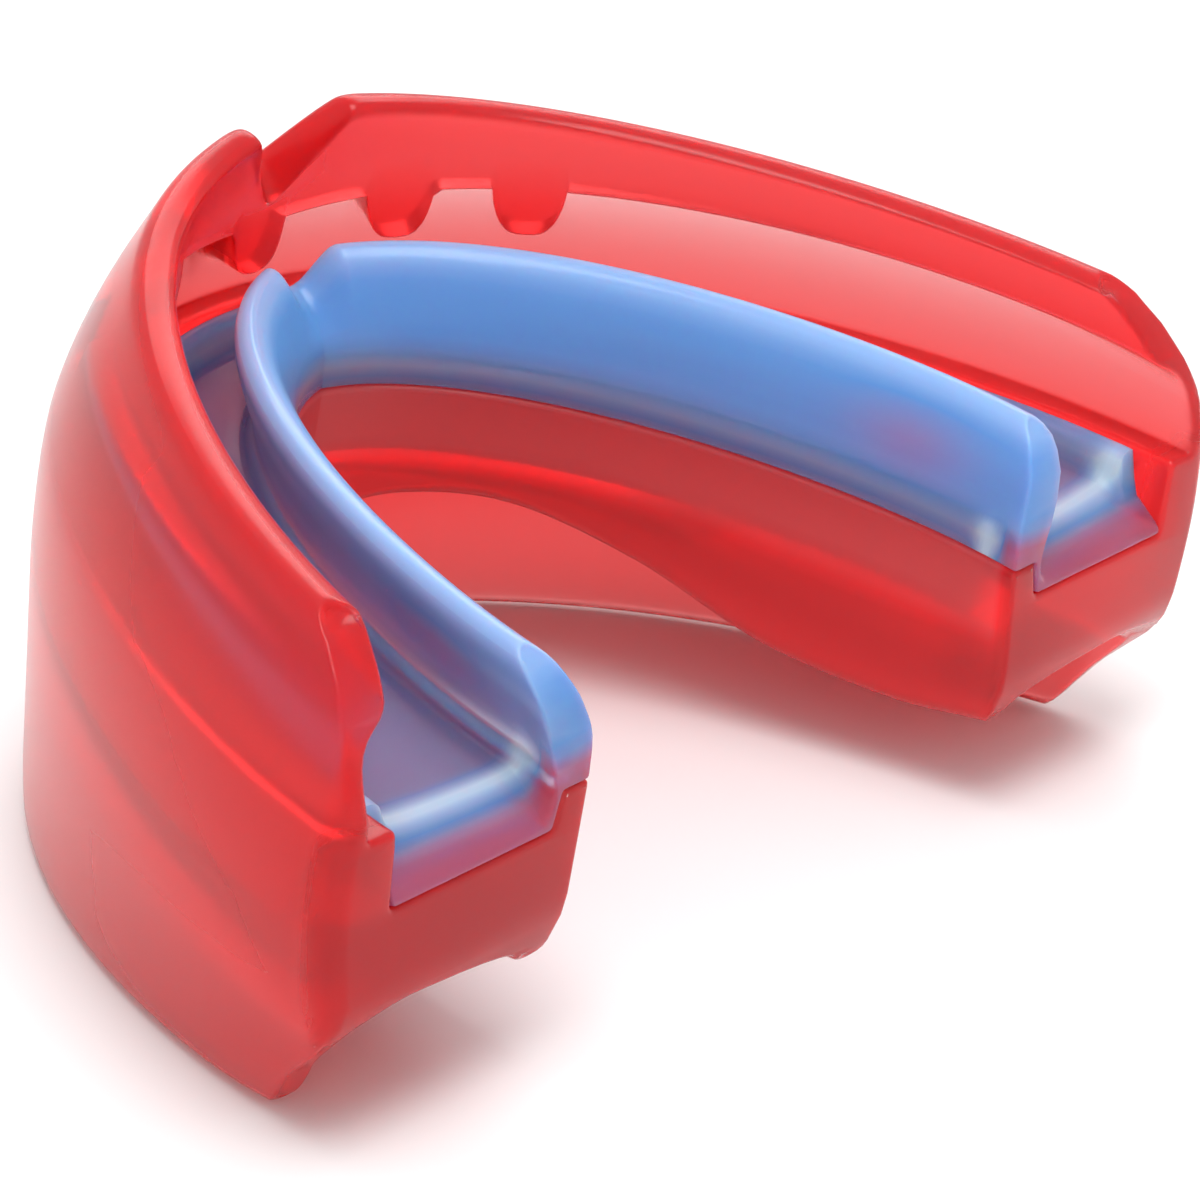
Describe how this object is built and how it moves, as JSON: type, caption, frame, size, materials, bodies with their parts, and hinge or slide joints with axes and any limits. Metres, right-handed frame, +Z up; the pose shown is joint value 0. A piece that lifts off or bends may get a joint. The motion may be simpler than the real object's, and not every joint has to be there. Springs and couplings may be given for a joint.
{
  "type": "mouthguard",
  "caption": "U-shaped sports mouthguard with a moulded outer frame, an inner tray and a fitting liner that holds the upper teeth.",
  "frame": {"origin": "centre of the bounding box's bottom face, which is the table the piece stands on", "axes": "+Z up as it stands; -Y towards the lips; +Y out of the open end of the U, with the arms' ends tilted 7.5 degrees down; +X towards one cheek"},
  "size_m": [0.062, 0.048, 0.0337],
  "materials": {
    "red_moulding": "glossy translucent red moulded elastomer",
    "pale_tray": "pale translucent moulded plastic",
    "blue_gel": "clear blue soft fitting gel, satin"
  },
  "bodies": {
    "root": {"shock_frame": "red_moulding", "bite_tray": "pale_tray", "fit_liner": "blue_gel"}
  },
  "joints": []
}
